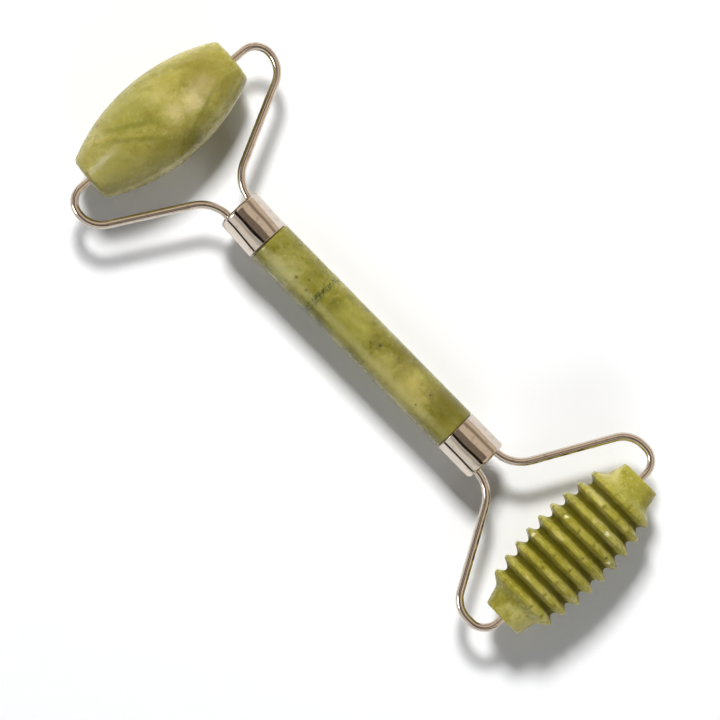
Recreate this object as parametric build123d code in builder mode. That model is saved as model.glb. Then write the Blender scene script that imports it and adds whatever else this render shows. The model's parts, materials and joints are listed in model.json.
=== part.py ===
from build123d import *

import os
from dataclasses import dataclass
from math import asin, cos, degrees, radians, sin

os.makedirs("parts", exist_ok=True)

# A two-ended stone face roller, in millimetres. The handle lies along X with its middle
# at the origin. A smooth roller turns in the wire fork at the -X end, and a ridged roller
# in the one at the +X end. Both forks lie in the XY plane, and the two rollers stand on a
# table at Z = -10.

# Stone handle, with a turned-down spigot at each end
handle_radius = 4.95
handle_edge = 0.2
spigot_radius = 4.5
smooth_shoulder_x = -27.45
ridged_shoulder_x = 28.25
smooth_seat_x = -32.0
ridged_seat_x = 32.6

# Ferrules, thin cups drawn from sheet, with two punched holes in the closed end.
# Distances along a ferrule and its fork are counted outward from the seat, which is the
# end face of the spigot.
ferrule_radius = 5.1
ferrule_wall = 0.35
ferrule_mouth = -4.2
ferrule_end = 5.2
ferrule_floor = 0.6
ferrule_corner = 0.8
ferrule_lip_edge = 0.12
wire_hole_radius = 1.1

# Glue that fills a ferrule around the spigot and the hidden bend of the wire
glue_start = -3.2
glue_end = 4.15

# Forks, each bent from one length of round wire. Every arm was bent by hand, so each has
# its own shoulder, which is kept with its end below.
wire_radius = 0.9
leg_offset = 2.85
hidden_bend_reach = 1.5
hidden_bend_radius = 2.0
spread_reach = 9.4
spread_bend_radius = 8.0
shoulder_bend_radius = 6.0
loop_bend_radius = 4.0
tip_offset = 13.0
tip_edge = 0.25

# Smooth roller, a barrel with slightly domed ends
smooth_half_length = 19.9
smooth_crown_radius = 10.0
smooth_end_radius = 5.1
smooth_face_radius = 45.0
smooth_end_edge = 0.8

# Ridged roller, a barrel with ground flats all round it, cut by grooves that leave sharp
# rings, with a plain neck at each end
ridged_half_length = 20.75
flat_count = 13
flat_crown_radius = 9.6
flat_length_radius = 68.0
flat_turn = 1.2
ridge_pitch = 3.63
ridges_each_side = 4
ridge_land = 0.7
groove_apex_depth = 2.63
groove_bottom_radius = 0.86
neck_start = 16.5
neck_radius = 5.75
neck_fillet = 1.2
neck_end_radius = 4.6
neck_end_edge = 0.3

# Nylon bushes, pressed into the stone, in which the wire tips run
bush_outer_radius = 2.1
bush_bore_radius = 0.95
bush_length = 9.0
bush_recess = 0.3
bush_edge = 0.2


@dataclass
class End:
    """One end of the tool: side is -1 or +1 along X, and the leans are in degrees.

    A shoulder is where an arm of the fork turns outward round the roller's end: how far it
    is from the seat, and how far from the fork's middle.
    """

    name: str
    side: int
    seat_x: float
    ferrule_lean: float
    fork_lean: float
    left_shoulder: tuple
    right_shoulder: tuple
    axle_reach: float
    roller_shift: float
    half_length: float

    def plane(self, lean):
        """The fork's plane at the seat: x points outward, and y across the fork."""
        outward = (self.side * cos(radians(lean)), sin(radians(lean)), 0)
        return Plane(origin=(self.seat_x, 0, 0), x_dir=outward, z_dir=(0, 0, self.side))

    def roller_plane(self):
        """A plane through the roller's middle: x points outward, and y along its axis."""
        fork_plane = self.plane(self.fork_lean)
        middle = fork_plane.from_local_coords((self.axle_reach, self.roller_shift, 0))
        return Plane(origin=middle, x_dir=fork_plane.x_dir, z_dir=fork_plane.z_dir)

    def face_plane(self, way, depth=0):
        """A plane on the roller's left (1) or right (-1) end face, or that deep in it."""
        middle_plane = self.roller_plane()
        origin = middle_plane.from_local_coords((0, way * (self.half_length - depth), 0))
        return Plane(origin, x_dir=middle_plane.x_dir, z_dir=middle_plane.y_dir * way)


# The smooth end was glued askew: its fork leans more than its ferrule does.
smooth_end = End(
    name="smooth",
    side=-1,
    seat_x=smooth_seat_x,
    ferrule_lean=2.4,
    fork_lean=4.4,
    left_shoulder=(22.0, 26.0),
    right_shoulder=(21.9, 26.7),
    axle_reach=29.8,
    roller_shift=-0.6,
    half_length=smooth_half_length,
)
ridged_end = End(
    name="ridged",
    side=1,
    seat_x=ridged_seat_x,
    ferrule_lean=0.3,
    fork_lean=0.6,
    left_shoulder=(22.6, 25.85),
    right_shoulder=(22.3, 26.25),
    axle_reach=30.8,
    roller_shift=-0.3,
    half_length=ridged_half_length,
)


def save(part, name):
    part.label = name
    export_step(part, f"parts/{name}.step")


# Handle
with BuildPart() as handle_stone:
    with BuildSketch(Plane.XY):
        with BuildLine():
            Polyline(
                (smooth_seat_x, 0),
                (smooth_seat_x, spigot_radius),
                (smooth_shoulder_x, spigot_radius),
                (smooth_shoulder_x, handle_radius),
                (ridged_shoulder_x, handle_radius),
                (ridged_shoulder_x, spigot_radius),
                (ridged_seat_x, spigot_radius),
                (ridged_seat_x, 0),
                close=True,
            )
        make_face()
    revolve(axis=Axis.X)
    rims = handle_stone.edges().filter_by(GeomType.CIRCLE).group_by(SortBy.RADIUS)[-1]
    fillet(rims, radius=handle_edge)
save(handle_stone.part, "handle_stone")


for end in (smooth_end, ridged_end):
    # Ferrule
    ferrule_plane = end.plane(end.ferrule_lean)
    ferrule_axis = Axis(ferrule_plane.origin, ferrule_plane.x_dir)
    inner_radius = ferrule_radius - ferrule_wall
    floor_inside = ferrule_end - ferrule_floor
    with BuildPart() as ferrule:
        with BuildSketch(ferrule_plane):
            with BuildLine():
                FilletPolyline(
                    (ferrule_mouth, inner_radius),
                    (ferrule_mouth, ferrule_radius),
                    (ferrule_end, ferrule_radius),
                    (ferrule_end, 0),
                    (floor_inside, 0),
                    (floor_inside, inner_radius),
                    radius=[
                        ferrule_lip_edge,
                        ferrule_lip_edge,
                        ferrule_corner,
                        0,
                        0,
                        ferrule_corner - ferrule_wall,
                    ],
                    close=True,
                )
            make_face()
        revolve(axis=ferrule_axis)
        end_face = Plane(ferrule_plane.from_local_coords((ferrule_end, 0, 0)),
                         x_dir=ferrule_plane.y_dir, z_dir=ferrule_plane.x_dir)
        with BuildSketch(end_face):
            with Locations((leg_offset, 0), (-leg_offset, 0)):
                Circle(wire_hole_radius)
        extrude(amount=-2 * ferrule_floor, mode=Mode.SUBTRACT)
    save(ferrule.part, f"{end.name}_ferrule")

    # Fork, from the tip in one end of the roller, through the ferrule, to the other tip
    left_arm, right_arm = [
        [
            (end.axle_reach, tip_offset),
            (end.axle_reach, shoulder_offset),
            (shoulder_reach, shoulder_offset),
            (spread_reach, leg_offset),
            (hidden_bend_reach, leg_offset),
        ]
        for shoulder_reach, shoulder_offset in (end.left_shoulder, end.right_shoulder)
    ]
    mirrored_arm = [(reach, -offset) for reach, offset in reversed(right_arm)]
    arm_bends = [loop_bend_radius, shoulder_bend_radius, spread_bend_radius, hidden_bend_radius]
    with BuildPart() as wire_fork:
        with BuildLine(end.plane(end.fork_lean)) as route:
            FilletPolyline(left_arm + mirrored_arm, radius=arm_bends + arm_bends[::-1])
        with BuildSketch(Plane(origin=route.line @ 0, z_dir=route.line % 0)):
            Circle(wire_radius)
        sweep()
        chamfer(wire_fork.faces().filter_by(GeomType.PLANE).edges(), length=tip_edge)
    save(wire_fork.part, f"{end.name}_wire_fork")

    # Glue fill
    with BuildPart() as glue_fill:
        with BuildSketch(ferrule_plane):
            with Locations(((glue_start + glue_end) / 2, inner_radius / 2)):
                Rectangle(glue_end - glue_start, inner_radius)
        revolve(axis=ferrule_axis)
        add(handle_stone.part, mode=Mode.SUBTRACT)
        add(wire_fork.part, mode=Mode.SUBTRACT)
    save(glue_fill.part, f"{end.name}_glue_fill")

    # Bushes, one in each end of the roller
    for way, side_name in ((1, "left"), (-1, "right")):
        with BuildPart() as bush:
            with BuildSketch(end.face_plane(way, bush_recess)):
                Circle(bush_outer_radius)
                Circle(bush_bore_radius, mode=Mode.SUBTRACT)
            extrude(amount=-bush_length)
            bore_rims = bush.edges().filter_by(GeomType.CIRCLE).group_by(SortBy.RADIUS)[0]
            chamfer(bore_rims, length=bush_edge)
        save(bush.part, f"{end.name}_bush_{side_name}")


# Smooth roller. Half the barrel is revolved, its edge is rounded, and it is mirrored.
smooth_plane = smooth_end.roller_plane()
smooth_axis = Axis(smooth_plane.origin, smooth_plane.y_dir)
dome_angle = degrees(asin(smooth_end_radius / smooth_face_radius))
with BuildPart() as smooth_stone:
    with BuildSketch(smooth_plane):
        with BuildLine():
            dome = JernArc((0, smooth_half_length), (1, 0), smooth_face_radius, -dome_angle)
            crown = (smooth_crown_radius, 0)
            barrel = TangentArc(crown, dome @ 1, tangent=(0, 1))
            Polyline(dome @ 0, (0, 0), crown)
        make_face()
    revolve(axis=smooth_axis)
    end_rim = smooth_stone.edges().filter_by(GeomType.CIRCLE).group_by(SortBy.RADIUS)[0]
    fillet(end_rim, radius=smooth_end_edge)
    mirror(about=Plane(smooth_plane.origin, z_dir=smooth_plane.y_dir))
    with Locations(smooth_end.face_plane(1), smooth_end.face_plane(-1)):
        Hole(radius=bush_outer_radius, depth=bush_recess + bush_length)
save(smooth_stone.part, "smooth_roller_stone")


# Ridged roller. The blank is a barrel of ground flats. Eight V grooves with a round bottom
# are turned into it, which leaves nine sharp rings, and each end is turned down to a neck.
ridged_plane = ridged_end.roller_plane()
ridged_axis = Axis(ridged_plane.origin, ridged_plane.y_dir)
blank_reach = 1.3 * flat_crown_radius
blank_half_length = ridged_half_length + 2
flat_end_radius = flat_crown_radius - blank_half_length**2 / (2 * flat_length_radius)


def corner_radius(distance):
    """Radius of the corners between the flats, at a distance along the axis from the middle."""
    flat_radius = flat_crown_radius - distance**2 / (2 * flat_length_radius)
    return flat_radius / cos(radians(180 / flat_count))


with BuildPart() as ridged_stone:
    for flat in range(flat_count):
        turn = flat_turn + flat * 360 / flat_count
        with BuildSketch(ridged_plane.rotated((0, turn, 0))):
            with BuildLine():
                ground = ThreePointArc(
                    (flat_end_radius, -blank_half_length),
                    (flat_crown_radius, 0),
                    (flat_end_radius, blank_half_length),
                )
                Polyline(
                    ground @ 1,
                    (-blank_reach, blank_half_length),
                    (-blank_reach, -blank_half_length),
                    ground @ 0,
                )
            make_face()
        extrude(amount=blank_reach, both=True, mode=Mode.INTERSECT if flat else Mode.ADD)

    flank_slope = (ridge_pitch - ridge_land) / 2 / groove_apex_depth
    for groove in range(2 * ridges_each_side):
        valley = (groove + 0.5 - ridges_each_side) * ridge_pitch
        apex_radius = corner_radius(valley) - groove_apex_depth
        mouth_half_width = flank_slope * (blank_reach - apex_radius)
        with BuildSketch(ridged_plane):
            with BuildLine():
                FilletPolyline(
                    (blank_reach, valley - mouth_half_width),
                    (apex_radius, valley),
                    (blank_reach, valley + mouth_half_width),
                    radius=[0, groove_bottom_radius, 0],
                    close=True,
                )
            make_face()
        revolve(axis=ridged_axis, mode=Mode.SUBTRACT)

    last_crest = ridges_each_side * ridge_pitch + ridge_land / 2
    last_crest_radius = corner_radius(last_crest)
    flare_slope = (neck_start - last_crest) / (last_crest_radius - neck_radius)
    flare_mouth = last_crest - flare_slope * (blank_reach - last_crest_radius)
    for way in (1, -1):
        with BuildSketch(ridged_plane):
            with BuildLine():
                FilletPolyline(
                    (blank_reach, way * flare_mouth),
                    (neck_radius, way * neck_start),
                    (neck_end_radius, way * ridged_half_length),
                    (0, way * ridged_half_length),
                    (0, way * (blank_half_length + 1)),
                    (blank_reach, way * (blank_half_length + 1)),
                    radius=[0, neck_fillet, 0, 0, 0, 0],
                    close=True,
                )
            make_face()
        revolve(axis=ridged_axis, mode=Mode.SUBTRACT)
    end_faces = ridged_stone.faces().sort_by(ridged_axis)
    fillet(end_faces[0].edges() + end_faces[-1].edges(), radius=neck_end_edge)
    with Locations(ridged_end.face_plane(1), ridged_end.face_plane(-1)):
        Hole(radius=bush_outer_radius, depth=bush_recess + bush_length)
save(ridged_stone.part, "ridged_roller_stone")
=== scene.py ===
import json
import math

import bmesh
import bpy
from mathutils import Matrix, Vector, noise


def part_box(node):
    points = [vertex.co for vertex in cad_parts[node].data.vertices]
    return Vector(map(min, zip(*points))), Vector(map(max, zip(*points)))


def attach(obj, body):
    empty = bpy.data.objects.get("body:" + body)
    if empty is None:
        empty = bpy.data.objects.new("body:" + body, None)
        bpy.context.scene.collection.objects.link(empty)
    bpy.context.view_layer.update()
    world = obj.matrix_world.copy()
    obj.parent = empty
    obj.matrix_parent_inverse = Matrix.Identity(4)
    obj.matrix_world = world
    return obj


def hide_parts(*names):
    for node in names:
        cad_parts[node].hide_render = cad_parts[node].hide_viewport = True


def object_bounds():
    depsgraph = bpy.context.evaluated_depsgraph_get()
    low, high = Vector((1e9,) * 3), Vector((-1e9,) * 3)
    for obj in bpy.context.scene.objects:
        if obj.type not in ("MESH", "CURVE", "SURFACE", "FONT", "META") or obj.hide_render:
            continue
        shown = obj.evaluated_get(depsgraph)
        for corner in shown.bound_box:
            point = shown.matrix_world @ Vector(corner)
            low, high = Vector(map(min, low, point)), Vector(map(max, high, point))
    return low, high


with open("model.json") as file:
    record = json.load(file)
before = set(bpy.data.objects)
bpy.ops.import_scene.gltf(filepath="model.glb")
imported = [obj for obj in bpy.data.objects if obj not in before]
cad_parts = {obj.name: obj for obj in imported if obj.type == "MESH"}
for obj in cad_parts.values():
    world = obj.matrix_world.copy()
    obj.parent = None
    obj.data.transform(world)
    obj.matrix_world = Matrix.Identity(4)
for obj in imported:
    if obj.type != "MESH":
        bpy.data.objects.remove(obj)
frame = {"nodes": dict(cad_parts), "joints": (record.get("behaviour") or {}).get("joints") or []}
cad_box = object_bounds()
mm = 0.001

# ------------------------------------------------------------------------- handle
# One turned bar of serpentine, the soft yellow-green stone sold as jade. It is ground
# round on a lathe, with a thinner spigot at each end for the ferrule, and tumbled to a
# low polish, which leaves it a little wavy.
handle_low, handle_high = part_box("handle_stone")
handle_radius = handle_high.z
spigot_radius = 4.5 * mm
smooth_shoulder = -27.45 * mm
ridged_shoulder = 28.25 * mm
handle_edge = 0.22 * mm
handle_waviness = 0.02 * mm
handle_wave_length = 7 * mm


def srgb(code):
    """An sRGB hex code as a linear RGBA colour."""
    channels = [int(code[start:start + 2], 16) / 255 for start in (1, 3, 5)]
    linear = [c / 12.92 if c <= 0.04045 else ((c + 0.055) / 1.055) ** 2.4 for c in channels]
    return (*linear, 1.0)


def add_node(material, kind, inputs=None, output=0, **settings):
    """Add a node and give back one of its outputs.

    Each input is a number, a colour, or what another node gave back.
    """
    node = material.node_tree.nodes.new("ShaderNode" + kind)
    for name, value in settings.items():
        setattr(node, name, value)
    for name, value in (inputs or {}).items():
        if isinstance(value, bpy.types.NodeSocket):
            material.node_tree.links.new(value, node.inputs[name])
        else:
            node.inputs[name].default_value = value
    return node.outputs[output] if node.outputs else node


def new_material(name, centre=(0, 0, 0), turn=0.0):
    """An empty material, and the place on its piece in mm from a centre, turned about Z."""
    material = bpy.data.materials.new(name)
    material.use_nodes = True
    material.node_tree.nodes.clear()
    place = add_node(material, "Mapping", {
        "Vector": add_node(material, "TexCoord", output="Object"),
        "Location": centre,
        "Rotation": (0, 0, turn),
        "Scale": (mm, mm, mm),
    }, vector_type="TEXTURE")
    return material, place


def shade(material, **inputs):
    """Close a material with its one shader; inputs are the shader's sockets by name."""
    sockets = {name.replace("_", " "): value for name, value in inputs.items()}
    shader = add_node(material, "BsdfPrincipled", sockets)
    add_node(material, "OutputMaterial", {"Surface": shader})
    return material


def blotches(material, place, size, low, high, detail=4.0, distortion=0.0):
    """A mask of soft uneven blotches, this many mm across, from 0 at low to 1 at high."""
    texture = add_node(material, "TexNoise", {
        "Vector": place, "Scale": 1 / size, "Detail": detail, "Distortion": distortion})
    return add_node(material, "MapRange", {
        "Value": texture, "From Min": low, "From Max": high}, interpolation_type="SMOOTHSTEP")


def stain(material, colour, code, mask, strength=1.0):
    """Lay another colour over one, where the mask is 1, this strongly."""
    amount = add_node(material, "Math", {0: mask, 1: strength}, operation="MULTIPLY")
    return add_node(material, "Mix", {0: amount, 6: colour, 7: srgb(code)}, output=2, data_type="RGBA")


def serpentine_body(material, place, deep, body, pale, grain_turn=0.0, stretch=1.0):
    """The stone's own colour: slow clouds, drawn out along the bed, under a fine mottle."""
    bed = add_node(material, "Mapping", {
        "Vector": place, "Rotation": (0, 0, grain_turn), "Scale": (1, stretch, 1),
    }, vector_type="TEXTURE")
    colour = stain(material, srgb(body), deep, blotches(material, bed, 8.0, 0.52, 0.28, 5.0, 0.9))
    colour = stain(material, colour, pale, blotches(material, bed, 6.5, 0.50, 0.74, 5.0, 0.6))
    colour = stain(material, colour, deep, blotches(material, bed, 1.3, 0.50, 0.32, 6.0, 0.4), 0.60)
    return stain(material, colour, pale, blotches(material, place, 0.9, 0.52, 0.70, 6.0), 0.55)


def wandering_sheet(material, place, normal, offset, width, wander, wander_size=4.0):
    """A mask for a wandering sheet through the stone, across its normal: a healed crack, and on the
    handle a painted highlight streak.
    """
    along_normal = add_node(material, "VectorMath", {0: place, 1: normal}, "Value",
                            operation="DOT_PRODUCT")
    drift = add_node(material, "TexNoise", {"Vector": place, "Scale": 1 / wander_size, "Detail": 3.0})
    sheet = add_node(material, "Math", {0: drift, 1: -2 * wander, 2: along_normal},
                     operation="MULTIPLY_ADD")
    away = add_node(material, "Math", {0: sheet, 1: offset - wander}, operation="SUBTRACT")
    away = add_node(material, "Math", {0: away}, operation="ABSOLUTE")
    return add_node(material, "MapRange", {
        "Value": away, "From Min": width, "From Max": 0.2 * width}, interpolation_type="SMOOTHSTEP")


def polished_stone(material, place, colour, roughness, shine=0.35):
    """Serpentine lets light a few mm in, and its hand polish is low and uneven."""
    rough = add_node(material, "MapRange", {
        "Value": blotches(material, place, 2.2, 0.3, 0.7),
        "To Min": -0.05,
        "To Max": 0.08,
    })
    rough = add_node(material, "Math", {0: rough, 1: roughness}, operation="ADD")
    pits = add_node(material, "TexNoise", {"Vector": place, "Scale": 1 / 0.5, "Detail": 4.0})
    bump = add_node(material, "Bump", {"Height": pits, "Strength": 0.10, "Distance": 0.05 * mm})
    return shade(
        material, Normal=bump, Base_Color=colour, Roughness=rough, IOR=1.56, Specular_IOR_Level=shine,
        Subsurface_Weight=0.8, Subsurface_Radius=(1.0, 0.85, 0.25), Subsurface_Scale=1.3 * mm)


def cloud(material, place, centre, size, wander, softness=0.5):
    """A mask for a cloud in the stone: an uneven ball about a point, this far across in mm."""
    shove = add_node(material, "TexNoise", {
        "Vector": place, "Scale": 3 / size, "Detail": 8.0, "Roughness": 0.68, "Distortion": 0.4,
    }, "Color")
    shove = add_node(material, "VectorMath", {0: shove, 1: (0.5, 0.5, 0.5)}, operation="SUBTRACT")
    moved = add_node(material, "VectorMath", {0: shove, 1: (wander, wander, wander), 2: place},
                     operation="MULTIPLY_ADD")
    far = add_node(material, "VectorMath", {0: moved, 1: centre}, "Value", operation="DISTANCE")
    return add_node(material, "MapRange", {
        "Value": far,
        "From Min": (0.5 + softness / 2) * size,
        "From Max": (0.5 - softness / 2) * size,
    }, interpolation_type="SMOOTHSTEP")


def place_matrix(origin, forward, across):
    """The place of a piece whose own x runs forward and whose own y runs across."""
    up = forward.cross(across)
    return Matrix.Translation(origin) @ Matrix((forward, across, up)).transposed().to_4x4()


def spin_profile(profile, steps=128):
    """Turn a profile of (distance along x, radius) points round the x axis."""
    bm = bmesh.new()
    points = [bm.verts.new((along, radius, 0)) for along, radius in profile]
    lines = [bm.edges.new(pair) for pair in zip(points, points[1:])]
    bmesh.ops.spin(bm, geom=points + lines, cent=(0, 0, 0), axis=(1, 0, 0), dvec=(0, 0, 0),
                   angle=math.tau, steps=steps, use_merge=True)
    bmesh.ops.remove_doubles(bm, verts=bm.verts, dist=0.001 * mm)
    return bm


def round_rings(bm, rings, radius, segments=3):
    """Round the sharp rings at these (distance, radius) places on a turned piece."""
    def lies_on(edge, along, out):
        return all(abs(v.co.x - along) < 0.01 * mm and abs(v.co.yz.length - out) < 0.01 * mm
                   for v in edge.verts)

    sharp = [edge for edge in bm.edges if any(lies_on(edge, *ring) for ring in rings)]
    bmesh.ops.bevel(bm, geom=sharp, offset=radius, segments=segments, affect="EDGES",
                    profile=0.5, material=-1)


def ripple(bm, height, length, shift=0.0):
    """Push the surface in and out by slow noise, as hand work leaves it."""
    bm.normal_update()
    moves = []
    for vert in bm.verts:
        wave = noise.noise(vert.co / length + Vector((shift, shift, shift)))
        moves.append((vert, vert.normal * wave * height))
    for vert, move in moves:
        vert.co += move


def make_piece(name, bm, material, body, node, sharp_angle=40):
    """Close a mesh, give it its material, and let it stand for a CAD node."""
    bmesh.ops.recalc_face_normals(bm, faces=bm.faces)
    for face in bm.faces:
        face.smooth = True
    mesh = bpy.data.meshes.new(name)
    bm.to_mesh(mesh)
    bm.free()
    mesh.set_sharp_from_angle(angle=math.radians(sharp_angle))
    mesh.materials.append(material)
    piece = bpy.data.objects.new(name, mesh)
    bpy.context.scene.collection.objects.link(piece)
    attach(piece, body)
    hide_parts(node)
    return piece


lengths = 40
barrel = [
    (smooth_shoulder + (ridged_shoulder - smooth_shoulder) * step / lengths, handle_radius)
    for step in range(lengths + 1)
]
handle = spin_profile([
    (handle_low.x, 0),
    (handle_low.x, spigot_radius),
    (smooth_shoulder, spigot_radius),
    *barrel,
    (ridged_shoulder, spigot_radius),
    (handle_high.x, spigot_radius),
    (handle_high.x, 0),
])
round_rings(handle, [barrel[0], barrel[-1]], handle_edge)
ripple(handle, handle_waviness, handle_wave_length)

# Olive-green serpentine. A healed crack shows as a ring of dark specks near the smooth end. Towards
# the ridged end one side is darker, with brown patches, and the other paler. A pale painted highlight
# streak runs the length of the handle on its −Y side.
handle_stone, place = new_material("serpentine_handle")
colour = serpentine_body(handle_stone, place, "#6f6a12", "#908937", "#aaa252")
# Painted highlight: a pale band along the handle, where a soft lamp's reflection lies.
painted_highlight_streak = wandering_sheet(handle_stone, place, (0, -1, 0), 2.4, 1.3, 0.4, 9.0)
colour = stain(handle_stone, colour, "#c2bb78", painted_highlight_streak, 0.40)
for x, y, size, code, strength in (
    (24.0, 3.4, 10.0, "#6c641a", 0.80),
    (10.0, 3.4, 8.0, "#746b25", 0.65),
    (3.5, 1.4, 4.0, "#6a6322", 0.50),
    (18.5, 1.2, 4.5, "#7f7336", 0.60),
    (15.5, -2.6, 9.0, "#c0b468", 0.75),
    (7.5, -1.6, 6.0, "#bbb166", 0.60),
    (26.0, -2.0, 5.0, "#8f8636", 0.60),
    (-15.5, 3.4, 6.0, "#7a772a", 0.60),
    (-24.0, 3.4, 6.0, "#858030", 0.50),
    (-3.0, -1.0, 9.0, "#aca652", 0.60),
    # Partly painted highlight: this pale cloud lies on the painted highlight streak and brightens it
    # where it is strongest.
    (-21.0, -2.6, 7.0, "#c6c083", 0.60),
):
    patch = cloud(handle_stone, place, (x, y, 4.0), size, 1.1 * size)
    colour = stain(handle_stone, colour, code, patch, strength)
crack = wandering_sheet(handle_stone, place, (1, 0, 0), -11.8, 1.15, 0.3, 2.5)
crack_specks = blotches(handle_stone, place, 0.42, 0.45, 0.56, 3.0)
crack = add_node(handle_stone, "Math", {0: crack, 1: crack_specks}, operation="MULTIPLY")
colour = stain(handle_stone, colour, "#33432a", crack, 0.85)
for x, y, size in (
    (-15.7, 0.2, 0.7), (-18.0, -1.2, 0.7), (-14.6, -1.7, 0.5), (2.7, 0.2, 0.7), (4.6, 1.1, 0.9),
    (3.4, -0.6, 0.5), (18.7, -2.2, 0.6), (19.4, 1.4, 0.5), (9.2, 2.2, 0.6),
):
    speck = cloud(handle_stone, place, (x, y, 4.7), size, 1.8 * size)
    colour = stain(handle_stone, colour, "#40351a", speck, 0.8)
polished_stone(handle_stone, place, colour, 0.24)
make_piece("handle", handle, handle_stone, "handle", "handle_stone")

# ------------------------------------------------------------------------ ferrules
# Each ferrule is a cup drawn from thin steel sheet and nickel-plated, with two holes
# punched in its floor for the wire. It is glued over the spigot by hand, and the one at
# the smooth end went on askew.
ferrule_radius = 5.1 * mm
ferrule_wall = 0.35 * mm
ferrule_mouth = -4.2 * mm
ferrule_end = 5.2 * mm
ferrule_floor = 0.6 * mm
ferrule_corner = 0.8 * mm
lip_height = 0.05 * mm
lip_length = 0.45 * mm
wire_hole_radius = 1.1 * mm
leg_offset = 2.85 * mm
dent_length = 4 * mm


def nickel_plate(name, centre, turn):
    """Bright nickel over drawn steel: warm grey, with draw lines along it and a faint haze."""
    material, place = new_material(name, centre, turn)
    lengthwise = add_node(material, "Mapping", {"Vector": place, "Scale": (0.15, 1, 1)})
    lines = add_node(material, "TexNoise", {"Vector": lengthwise, "Scale": 1 / 0.25, "Detail": 3.0})
    haze = blotches(material, place, 1.4, 0.50, 0.75)
    rough = add_node(material, "MapRange", {"Value": haze, "To Min": 0.06, "To Max": 0.16})
    bump = add_node(material, "Bump", {"Height": lines, "Strength": 0.15, "Distance": 0.01 * mm})
    colour = stain(material, srgb("#d6cbbe"), "#b3a493", haze, 0.5)
    return shade(material, Normal=bump, Base_Color=colour, Metallic=1.0, Roughness=rough)


def make_ferrule(name, seat, side, lean, node, dents, shift):
    """A drawn cup with its mouth over the spigot, leaning this many degrees in the plan."""
    lean = math.radians(lean)
    forward = Vector((side * math.cos(lean), math.sin(lean), 0))
    across = forward.cross(Vector((0, 0, 1))) * -side
    inner = ferrule_radius - ferrule_wall
    rim = ferrule_radius - ferrule_corner
    floor_inside = ferrule_end - ferrule_floor
    wall_lengths = 10
    wall = [
        (ferrule_mouth + lip_length + (ferrule_end - ferrule_mouth - lip_length) * step / wall_lengths,
         ferrule_radius)
        for step in range(wall_lengths + 1)
    ]
    cup = spin_profile([
        (ferrule_end, rim),
        *reversed(wall),
        (ferrule_mouth, ferrule_radius + lip_height),
        (ferrule_mouth, inner),
        (floor_inside, inner),
        (floor_inside, rim),
    ])
    round_rings(cup, [wall[-1]], 0.98 * ferrule_corner, segments=6)
    round_rings(cup, [(ferrule_mouth, ferrule_radius + lip_height), (ferrule_mouth, inner)], 0.12 * mm)
    open_rims = [edge for edge in cup.edges if edge.is_boundary]
    for_floor = {ferrule_end: [], floor_inside: []}
    for plane in for_floor:
        for_floor[plane] += [
            edge for edge in open_rims if abs(edge.verts[0].co.x - plane) < 0.01 * mm]
    face_on = Matrix.Rotation(math.pi / 2, 4, "Y")
    for leg in (leg_offset, -leg_offset):
        hole = []
        for plane in for_floor:
            where = Matrix.Translation((plane, leg, 0)) @ face_on
            ring = bmesh.ops.create_circle(
                cup, segments=32, radius=wire_hole_radius, matrix=where)["verts"]
            edges = list({edge for vert in ring for edge in vert.link_edges})
            for_floor[plane] += edges
            hole += edges
        bmesh.ops.bridge_loops(cup, edges=hole)
    for edges in for_floor.values():
        bmesh.ops.triangle_fill(cup, edges=edges, use_beauty=True)
    ripple(cup, dents, dent_length, shift)
    bmesh.ops.transform(cup, matrix=place_matrix(seat, forward, across), verts=cup.verts)
    plating = nickel_plate(f"nickel_plate_{name}", seat, side * lean)
    make_piece(name, cup, plating, "handle", node)


smooth_seat = Vector((handle_low.x, 0, 0))
ridged_seat = Vector((handle_high.x, 0, 0))
make_ferrule("ferrule_smooth_end", smooth_seat, -1, 2.4, "smooth_ferrule", 0.10 * mm, 3.1)
make_ferrule("ferrule_ridged_end", ridged_seat, 1, 0.3, "ridged_ferrule", 0.05 * mm, 7.7)

# Two-part epoxy holds each ferrule. It shows only as a dark amber line at the mouth and
# round the wires, where it has yellowed and caught dirt.
epoxy, place = new_material("cured_epoxy")
colour = stain(epoxy, srgb("#8a7446"), "#4a3a1c", blotches(epoxy, place, 0.8, 0.40, 0.65))
shade(epoxy, Base_Color=colour, Roughness=0.35, IOR=1.55)
for node in ("smooth_glue_fill", "ridged_glue_fill"):
    frame["nodes"][node].data.materials.clear()
    frame["nodes"][node].data.materials.append(epoxy)

# --------------------------------------------------------------------------- forks
# Each fork is one length of 1.8 mm steel wire, bent cold round pins and nickel-plated.
# Its middle is bent back inside the ferrule, and its two tips run in the roller. The arms
# were bent by eye, so each turns outward at its own distance from the seat and the middle.
# The radius is 5 microns short, so that the ripple doesn't make the fork any wider.
wire_radius = 0.895 * mm
hidden_bend_reach = 1.5 * mm
hidden_bend_radius = 2.0 * mm
spread_reach = 9.4 * mm
spread_bend_radius = 8.0 * mm
shoulder_bend_radius = 6.0 * mm
loop_bend_radius = 4.0 * mm
tip_offset = 13.0 * mm
tip_edge = 0.2 * mm
wire_sides = 32
wire_ring_gap = 1.2 * mm
wire_ripple = 0.02 * mm
wire_ripple_length = 5 * mm


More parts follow.
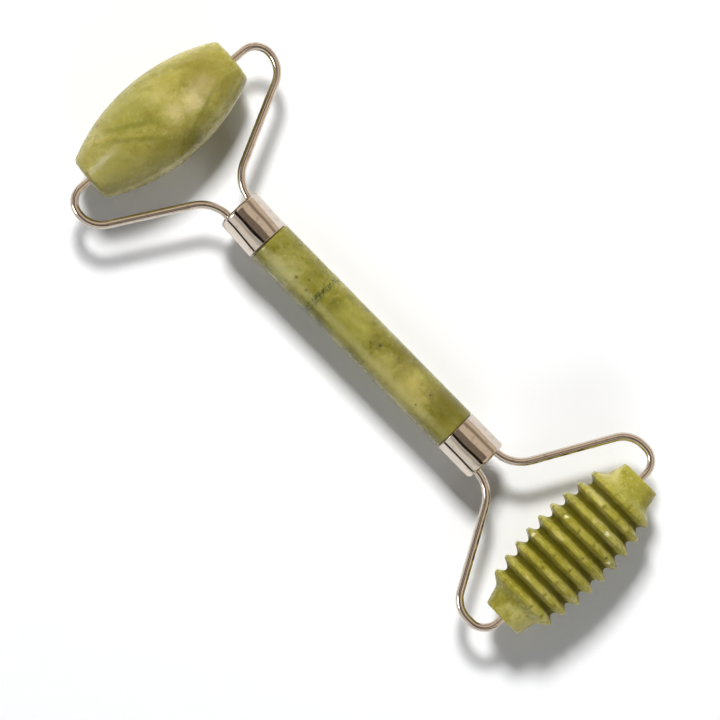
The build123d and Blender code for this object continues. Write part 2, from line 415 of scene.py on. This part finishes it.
def bent_wire(corners, bends):
    """Draw a round wire from the first corner to the last, bent at each one between."""
    corners = [Vector((reach, offset, 0)) for reach, offset in corners]
    heading = (corners[1] - corners[0]).normalized()
    start = Matrix.Translation(corners[0]) @ heading.to_track_quat("Z", "Y").to_matrix().to_4x4()
    bm = bmesh.new()
    ring = bmesh.ops.create_circle(bm, cap_ends=True, segments=wire_sides, radius=wire_radius,
                                   matrix=start)["verts"]
    ring = ring + list({edge for vert in ring for edge in vert.link_edges})
    first_rim = [part for part in ring if isinstance(part, bmesh.types.BMEdge)]
    at = corners[0]
    for corner, following, bend in zip(corners[1:], corners[2:] + [None], bends + [0]):
        turn = 0.0
        if following is not None:
            turn = heading.xy.angle_signed((following - corner).xy.normalized()) * -1
        run = (corner - at).length - bend * math.tan(abs(turn) / 2)
        steps = max(1, round(run / wire_ring_gap))
        swept = bmesh.ops.spin(bm, geom=ring, cent=at, axis=(0, 0, 1), dvec=heading * run / steps,
                               angle=0.0, steps=steps)
        at = at + heading * run
        ring = swept["geom_last"]
        if following is None:
            break
        side = Vector((-heading.y, heading.x, 0)) * (1 if turn > 0 else -1)
        centre = at + side * bend
        steps = max(6, round(abs(turn) * bend / (0.5 * wire_ring_gap)))
        swept = bmesh.ops.spin(bm, geom=ring, cent=centre, axis=(0, 0, 1), dvec=(0, 0, 0),
                               angle=turn, steps=steps)
        ring = swept["geom_last"]
        around = Matrix.Rotation(turn, 3, "Z")
        at = centre + around @ (at - centre)
        heading = around @ heading
    last_rim = [part for part in ring if isinstance(part, bmesh.types.BMEdge)]
    bmesh.ops.contextual_create(bm, geom=last_rim)
    bmesh.ops.bevel(bm, geom=first_rim + last_rim, offset=tip_edge, segments=2, affect="EDGES",
                    profile=0.5, material=-1)
    return bm


def joint_frame(joint_name, seat, side):
    """A fork's place, its seat to axle distance, and its roller's place and turn about Z."""
    joint = next(j for j in frame["joints"] if j["name"] == joint_name)
    across = Vector(joint["axis"]).normalized()
    forward = across.cross(Vector((0, 0, 1))) * side
    middle = Vector(joint["pos_m"])
    return place_matrix(seat, forward, across), (middle - seat).dot(forward), \
        place_matrix(middle, across, -forward), math.atan2(-across.x, across.y)


def make_fork(name, joint_name, seat, side, shoulders, node, shift):
    """One wire, both arms; shoulders are each arm's outward bend, (reach, offset) in mm."""
    where, reach, _, turn = joint_frame(joint_name, seat, side)
    left_arm, right_arm = [
        [
            (reach, tip_offset),
            (reach, shoulder_offset * mm),
            (shoulder_reach * mm, shoulder_offset * mm),
            (spread_reach, leg_offset),
            (hidden_bend_reach, leg_offset),
        ]
        for shoulder_reach, shoulder_offset in shoulders
    ]
    mirrored_arm = [(along, -offset) for along, offset in reversed(right_arm)]
    arm_bends = [loop_bend_radius, shoulder_bend_radius, spread_bend_radius, hidden_bend_radius]
    wire = bent_wire(left_arm + mirrored_arm, arm_bends + arm_bends[::-1])
    ripple(wire, wire_ripple, wire_ripple_length, shift)
    bmesh.ops.transform(wire, matrix=where, verts=wire.verts)
    plating = nickel_plate(f"nickel_wire_{name}", seat, turn)
    make_piece(name, wire, plating, "handle", node)


make_fork("fork_smooth_end", "smooth_roller_spin", smooth_seat, -1,
          ((22.0, 26.0), (21.9, 26.7)), "smooth_wire_fork", 1.3)
make_fork("fork_ridged_end", "ridged_roller_spin", ridged_seat, 1,
          ((22.6, 25.85), (22.3, 26.25)), "ridged_wire_fork", 5.9)

# -------------------------------------------------------------------------- bushes
# Four plain sleeves of natural nylon, pressed into the stone below its end faces, keep
# the wire tips from grinding in it.
nylon, place = new_material("natural_nylon")
colour = stain(nylon, srgb("#e6e1d2"), "#a8a294", blotches(nylon, place, 0.7, 0.45, 0.70))
shade(nylon, Base_Color=colour, Roughness=0.45, IOR=1.53, Subsurface_Weight=0.2,
      Subsurface_Radius=(1.0, 1.0, 1.0), Subsurface_Scale=0.5 * mm)
for node in ("smooth_bush_left", "smooth_bush_right", "ridged_bush_left", "ridged_bush_right"):
    frame["nodes"][node].data.materials.clear()
    frame["nodes"][node].data.materials.append(nylon)

# ------------------------------------------------------------------- smooth roller
# A barrel of the same stone, cut from a paler block, turned and polished, with a blind
# hole drilled in each slightly domed end for a bush.
bore_radius = 2.1 * mm
bore_depth = 9.3 * mm
bore_edge = 0.15 * mm
smooth_half_length = 19.9 * mm
smooth_crown = 9.96 * mm
smooth_end = 5.1 * mm
smooth_face_radius = 45.0 * mm
smooth_edge = 0.8 * mm
smooth_waviness = 0.05 * mm
smooth_wave_length = 9 * mm


def bored(end_profile, half_length):
    """A half profile from the middle to an end face, closed by the end's blind hole."""
    return end_profile + [
        (half_length, bore_radius),
        (half_length - bore_depth, bore_radius),
        (half_length - bore_depth, 0),
    ]


def mirrored(half):
    """A whole profile from the half on the left, whose first point is at the middle."""
    return [(-along, radius) for along, radius in reversed(half[1:])] + half


dome_drop = smooth_face_radius - math.sqrt(smooth_face_radius**2 - smooth_end**2)
shoulder = smooth_half_length - dome_drop
crown_radius = (shoulder**2 + (smooth_crown - smooth_end)**2) / (2 * (smooth_crown - smooth_end))
barrel_lengths = 24
half = []
for step in range(barrel_lengths + 1):
    along = shoulder * step / barrel_lengths
    half.append((along, smooth_crown - crown_radius + math.sqrt(crown_radius**2 - along**2)))
half = bored(half, smooth_half_length)
smooth_barrel = spin_profile(mirrored(half), steps=144)
round_rings(smooth_barrel, [(shoulder, smooth_end), (-shoulder, smooth_end)], smooth_edge, segments=5)
bore_mouths = [(smooth_half_length, bore_radius), (-smooth_half_length, bore_radius)]
round_rings(smooth_barrel, bore_mouths, bore_edge, segments=2)
ripple(smooth_barrel, smooth_waviness, smooth_wave_length)
_, _, smooth_place, smooth_turn = joint_frame("smooth_roller_spin", smooth_seat, -1)
bmesh.ops.transform(smooth_barrel, matrix=smooth_place, verts=smooth_barrel.verts)


def tapered(material, mask, place, centre, reach):
    """A mask that fades out this many mm from a point."""
    far = add_node(material, "VectorMath", {0: place, 1: centre}, "Value", operation="DISTANCE")
    near = add_node(material, "MapRange", {
        "Value": far, "From Min": reach, "From Max": 0.5 * reach}, interpolation_type="SMOOTHSTEP")
    return add_node(material, "Math", {0: mask, 1: near}, operation="MULTIPLY")


# The bed of the stone runs slantwise across the barrel, with a cream cloud on one side, an olive one
# beside it, and a few dark green healed cracks. The cream cloud on top is partly the stone's own
# colour and partly a painted reflection of the key lamp.
smooth_stone, place = new_material("serpentine_smooth_roller", smooth_place.translation, smooth_turn)
bed_turn = math.radians(-30)
colour = serpentine_body(smooth_stone, place, "#8b822c", "#a99f4b", "#c3b970", bed_turn, 2.0)
for x, y, z, size, code, strength in (
    # These three cream clouds are partly the stone's cream patch and partly a painted reflection of
    # the key lamp.
    (1.2, 3.2, 9.4, 4.0, "#d6c78a", 0.70),
    (1.8, 7.5, 8.5, 4.5, "#dccd96", 0.75),
    (0.6, 11.5, 8.0, 5.0, "#c0b07a", 0.60),
    (-2.6, 3.0, 9.0, 6.0, "#b9ae60", 0.40),
    (-3.0, 14.0, 7.0, 8.0, "#8d802c", 0.65),
    (4.5, 15.0, 6.0, 6.0, "#8f8430", 0.55),
    (7.2, 2.5, 6.0, 5.5, "#746c0a", 0.65),
    (6.0, 7.5, 7.0, 3.5, "#7c7512", 0.45),
    (5.0, -5.0, 8.0, 6.0, "#938a32", 0.50),
    (2.0, -13.0, 6.5, 8.0, "#aaa350", 0.50),
    (-6.0, -4.0, 7.0, 9.0, "#aaa554", 0.60),
):
    patch = cloud(smooth_stone, place, (x, y, z), size, 1.2 * size, 0.7)
    colour = stain(smooth_stone, colour, code, patch, strength)
for normal, offset, width, middle, reach in (
    ((0.86, -0.51, 0.05), 1.3, 1.1, (-2.2, -6.0, 8.5), 9.0),
    ((0.84, -0.54, -0.08), 3.4, 0.9, (-0.4, -6.5, 9.0), 8.0),
    ((0.92, 0.38, 0.10), 8.2, 0.60, (5.6, 7.0, 6.5), 8.0),
):
    crack = wandering_sheet(smooth_stone, place, normal, offset, width, 0.7, 4.0)
    crack = tapered(smooth_stone, crack, place, middle, reach)
    colour = stain(smooth_stone, colour, "#737318", crack, 0.45)
polished_stone(smooth_stone, place, colour, 0.24)
make_piece("roller_smooth", smooth_barrel, smooth_stone, "smooth_roller",
           "smooth_roller_stone")

# ------------------------------------------------------------------- ridged roller
# The second barrel is turned and grooved on a wheel, which leaves nine rings. Flats are
# then ground along it by hand, so that every ring becomes a row of blunt facets with a
# shallow nick between each two. Sizes are a hair small to leave room for the unevenness.
ridged_half_length = 20.75 * mm
flat_crown = 9.58 * mm
flat_length_radius = 68.0 * mm
flat_angles = (27.7, 25.2, 29.5, 23.5, 28.6, 27.0, 29.9, 26.4, 28.3, 25.8, 29.2, 28.4, 30.5)
flat_turn = 1.2
first_corner = flat_turn - flat_angles[0] / 2
flat_steps = 8
ridge_pitch = 3.63 * mm
ridges_each_side = 4
flank_angle = math.radians(29.1)
crest_round = 0.6 * mm
groove_round = 0.86 * mm
nick_angle = math.radians(8.5)
nick_steps = 8
nick_depth = 0.36 * mm
neck_start = 16.5 * mm
neck_radius = 5.75 * mm
neck_end = 4.6 * mm
neck_edge = 0.3 * mm
neck_fillet = 0.9 * mm
ridge_height = ridge_pitch / 2 / math.tan(flank_angle)
crest_loss = crest_round * (1 / math.sin(flank_angle) - 1)
corner_loss = 0.16 * mm
flat_unevenness = 0.08 * mm
ridged_waviness = 0.10 * mm
ridged_wave_length = 1.7 * mm


def flat_radius(along):
    """How far the ground flats are from the axis, at a distance from the middle."""
    return flat_crown - along**2 / (2 * flat_length_radius)


def blank_radius(along):
    """Radius of the turned blank, which the corners between the flats still show."""
    return flat_radius(along) / math.cos(math.pi / len(flat_angles)) - corner_loss


neck = (neck_start, neck_radius)
neck_rim = (ridged_half_length, neck_end)
crests = []
valleys = []
for ridge in range(ridges_each_side + 1):
    crest = ridge * ridge_pitch
    valley = crest + ridge_pitch / 2
    crests.append((crest, blank_radius(crest) + crest_loss))
    if ridge < ridges_each_side:
        valleys.append((valley, blank_radius(valley) + crest_loss - ridge_height))
half = [point for pair in zip(crests, valleys) for point in pair]
half = bored(half + [crests[-1], neck, neck_rim], ridged_half_length)

ridged = bmesh.new()
points = [ridged.verts.new((along, 0, radius)) for along, radius in mirrored(half)]
ring = points + [ridged.edges.new(pair) for pair in zip(points, points[1:])]
for angle in flat_angles:
    half_nick = (nick_angle / 2, nick_steps // 2)
    for turn, count in (half_nick, (math.radians(angle) - nick_angle, flat_steps), half_nick):
        ring = bmesh.ops.spin(ridged, geom=ring, cent=(0, 0, 0), axis=(1, 0, 0), dvec=(0, 0, 0),
                              angle=turn, steps=count)["geom_last"]
bmesh.ops.remove_doubles(ridged, verts=ridged.verts, dist=0.001 * mm)


def both_ends(rings):
    """The same rings on both halves of a turned piece."""
    return list(rings) + [(-along, radius) for along, radius in rings]


round_rings(ridged, both_ends(valleys), groove_round / math.tan(flank_angle), segments=8)
round_rings(ridged, both_ends(crests), crest_round / math.tan(flank_angle), segments=9)
round_rings(ridged, both_ends([neck]), neck_fillet, segments=5)
round_rings(ridged, both_ends([neck_rim]), neck_edge, segments=3)
round_rings(ridged, both_ends([(ridged_half_length, bore_radius)]), bore_edge, segments=2)

corners = [math.radians(first_corner)]
for angle in flat_angles:
    corners.append(corners[-1] + math.radians(angle))
in_nick = ridged.verts.layers.float.new("nick")
for vert in ridged.verts:
    out = vert.co.yz.length
    if out < neck_radius or abs(vert.co.x) > neck_start:
        continue
    turn = (math.atan2(-vert.co.y, vert.co.z) - corners[0]) % math.tau + corners[0]
    flat = next(k for k in range(len(flat_angles)) if turn <= corners[k + 1] + 1e-6)
    middle = (corners[flat] + corners[flat + 1]) / 2
    uneven = noise.noise((flat * 3.7, vert.co.x / ridge_pitch, 0.5)) * flat_unevenness
    limit = (flat_radius(vert.co.x) + uneven) / math.cos(turn - middle)
    from_corner = min(abs(turn - corners[flat]), abs(turn - corners[flat + 1]))
    if from_corner < nick_angle / 2:
        nick = math.cos(math.pi * from_corner / nick_angle) ** 2
        nick *= 0.7 + 0.9 * noise.noise((flat * 5.1, vert.co.x / ridge_pitch, 2.5))
        limit -= nick_depth * nick
        if out > limit:
            vert[in_nick] = nick
    if out > limit:
        vert.co.yz *= limit / out
ripple(ridged, ridged_waviness, ridged_wave_length, 4.0)
_, _, ridged_place, ridged_turn = joint_frame("ridged_roller_spin", ridged_seat, 1)
bmesh.ops.transform(ridged, matrix=ridged_place, verts=ridged.verts)


# Only the facets are polished: the grooves keep the matt surface of the wheel. Their colour is
# darkened with painted shade.
ridged_stone, place = new_material("serpentine_ridged_roller", ridged_place.translation, ridged_turn)
colour = serpentine_body(ridged_stone, place, "#8f872a", "#a8a044", "#c6bd74")
# Pale spots on the crests: chipped stone, and the one at (2.6, 7.5) a painted highlight on a kink in
# the crest.
chips_and_glint = ((-5.9, 4.1), (2.6, 7.5), (-8.0, -3.6), (7.2, 3.2), (-3.3, -10.6))
pale_spot_size = 1.1
pale_spot_depth = 9.4
outer_groove = 14.8
along = add_node(ridged_stone, "SeparateXYZ", {"Vector": place}, "Y")
from_crest = add_node(ridged_stone, "Math", {0: along, 1: ridge_pitch / mm / 2}, operation="PINGPONG")
ragged = add_node(ridged_stone, "TexNoise", {"Vector": place, "Scale": 1 / 1.5, "Detail": 4.0})
ragged = add_node(ridged_stone, "Math", {0: ragged, 1: 0.5, 2: from_crest}, operation="MULTIPLY_ADD")
groove_shade_and_matt = add_node(ridged_stone, "MapRange", {
    "Value": ragged, "From Min": 1.00, "From Max": 1.72}, interpolation_type="SMOOTHSTEP")
from_middle = add_node(ridged_stone, "Math", {0: along}, operation="ABSOLUTE")
off_neck = add_node(ridged_stone, "Math", {0: from_middle, 1: outer_groove}, operation="LESS_THAN")
groove_shade_and_matt = add_node(ridged_stone, "Math", {0: groove_shade_and_matt, 1: off_neck}, operation="MULTIPLY")
# Painted shade: the colour darkens into the grooves between the rings, where little light reaches.
colour = stain(ridged_stone, colour, "#4c4500", groove_shade_and_matt, 0.92)
# Painted shade in the shallow nicks between the facets.
nick_painted_shade = add_node(ridged_stone, "Attribute", output="Fac", attribute_name="nick")
colour = stain(ridged_stone, colour, "#655e10", nick_painted_shade, 0.65)
for x, y in chips_and_glint:
    pale_spot = cloud(ridged_stone, place, (x, y, math.sqrt(pale_spot_depth**2 - x**2)), pale_spot_size, 1.0)
    colour = stain(ridged_stone, colour, "#e4dfb4", pale_spot, 0.9)
matt = add_node(ridged_stone, "Math", {0: groove_shade_and_matt, 1: 0.6, 2: 0.28}, operation="MULTIPLY_ADD")
polished_stone(ridged_stone, place, colour, matt, 0.12)
make_piece("roller_ridged", ridged, ridged_stone, "ridged_roller", "ridged_roller_stone")

# --------------------------------------------------------------------------- stage
# A flat white floor, one soft key lamp that throws the shadow, a broad fill overhead and
# one at the side, and a small card that shows only in reflections, as on the polished stone.
floor_size = 8.0
floor_mesh = bmesh.new()
bmesh.ops.create_grid(floor_mesh, x_segments=1, y_segments=1, size=floor_size / 2)
bmesh.ops.translate(floor_mesh, vec=(0, 0, cad_box[0].z), verts=floor_mesh.verts)
mesh = bpy.data.meshes.new("floor")
floor_mesh.to_mesh(mesh)
floor_mesh.free()
floor = bpy.data.objects.new("floor", mesh)
bpy.context.scene.collection.objects.link(floor)
paper, _ = new_material("white_paper")
shade(paper, Base_Color=srgb("#fcfcfc"), Roughness=0.9)
mesh.materials.append(paper)


def add_lamp(name, direction, distance, width, length, radiance, tone="#ffffff",
             diffuse=True, glossy=True):
    """A soft lamp that faces the object, with its long side along X."""
    lamp = bpy.data.lights.new(name, "AREA")
    lamp.shape = "RECTANGLE"
    lamp.size, lamp.size_y = length, width
    lamp.energy = radiance * math.pi * width * length
    lamp.color = srgb(tone)[:3]
    holder = bpy.data.objects.new(name, lamp)
    bpy.context.scene.collection.objects.link(holder)
    back = Vector(direction).normalized()
    holder.location = back * distance
    right = Vector((1, 0, 0))
    holder.matrix_world = place_matrix(back * distance, right, back.cross(right))
    holder.visible_camera = False
    holder.visible_diffuse = diffuse
    holder.visible_glossy = glossy
    return holder


key_direction = (-6.3, 5.2, 10.1)
add_lamp("key", key_direction, 2.0, 0.5, 0.5, 65.0, glossy=False)
add_lamp("fill", (0, 0, 1), 1.2, 3.0, 3.0, 0.10, "#f2f5ff", glossy=False)
add_lamp("side_fill", (0.85, -0.35, 0.45), 1.0, 0.8, 0.8, 2.1, "#f7f9ff", glossy=False)
add_lamp("low_card", (-0.38, -0.66, 0.65), 1.0, 0.32, 0.28, 8.0, diffuse=False)

# What the plating mirrors: a warm grey room in long bands beside the object, greyer
# overhead, with one dark band beside that and another along the foot of the wall.
world = bpy.data.worlds.new("studio")
bpy.context.scene.world = world
world.use_nodes = True
world.node_tree.nodes.clear()
direction = add_node(world, "TexCoord", output="Object")
upward = add_node(world, "SeparateXYZ", {"Vector": direction}, "Z")
sideways = add_node(world, "SeparateXYZ", {"Vector": direction}, "Y")
angle = add_node(world, "Math", {0: sideways, 1: upward}, operation="ARCTAN2")
near_side = add_node(world, "MapRange", {
    "Value": angle, "From Min": math.radians(-10), "From Max": math.radians(-30)})
room = stain(world, srgb("#dfd0bf"), "#efedea", near_side)


def lay_band(room, centre, half_width, softness, code):
    """Lay a band along X into the room; all in degrees, centred from overhead towards +Y."""
    away = add_node(world, "Math", {0: angle, 1: math.radians(centre)}, operation="SUBTRACT")
    away = add_node(world, "Math", {0: away}, operation="ABSOLUTE")
    band = add_node(world, "MapRange", {
        "Value": away,
        "From Min": math.radians(half_width + softness),
        "From Max": math.radians(half_width - softness),
    }, interpolation_type="SMOOTHSTEP")
    return stain(world, room, code, band)


room = lay_band(room, 59, 8, 7, "#998a7a")
room = lay_band(room, -38, 8, 8, "#bdb8b3")
room = lay_band(room, -84, 6, 3, "#2c2722")
overhead = add_node(world, "MapRange", {
    "Value": upward, "From Min": 0.940, "From Max": 0.970}, interpolation_type="SMOOTHSTEP")
room = stain(world, room, "#81766a", overhead)
room = lay_band(room, -22, 7, 2, "#241e1a")
background = add_node(world, "Background", {"Color": room})
add_node(world, "OutputWorld", {"Surface": background})
for ray in ("diffuse", "transmission", "scatter"):
    setattr(world.cycles_visibility, ray, False)
bpy.context.scene.view_settings.view_transform = "Standard"

# The camera looks straight down from far away through a long lens.
camera_distance = 0.9
view_width = 0.15187
camera = bpy.data.objects.new("camera", bpy.data.cameras.new("camera"))
bpy.context.scene.collection.objects.link(camera)
camera.data.lens = camera.data.sensor_width * camera_distance / view_width
camera.location = (3.78 * mm, -3.92 * mm, camera_distance)
camera.rotation_euler = (0, 0, math.radians(45.5))
camera.data.clip_end = 10
bpy.context.scene.camera = camera
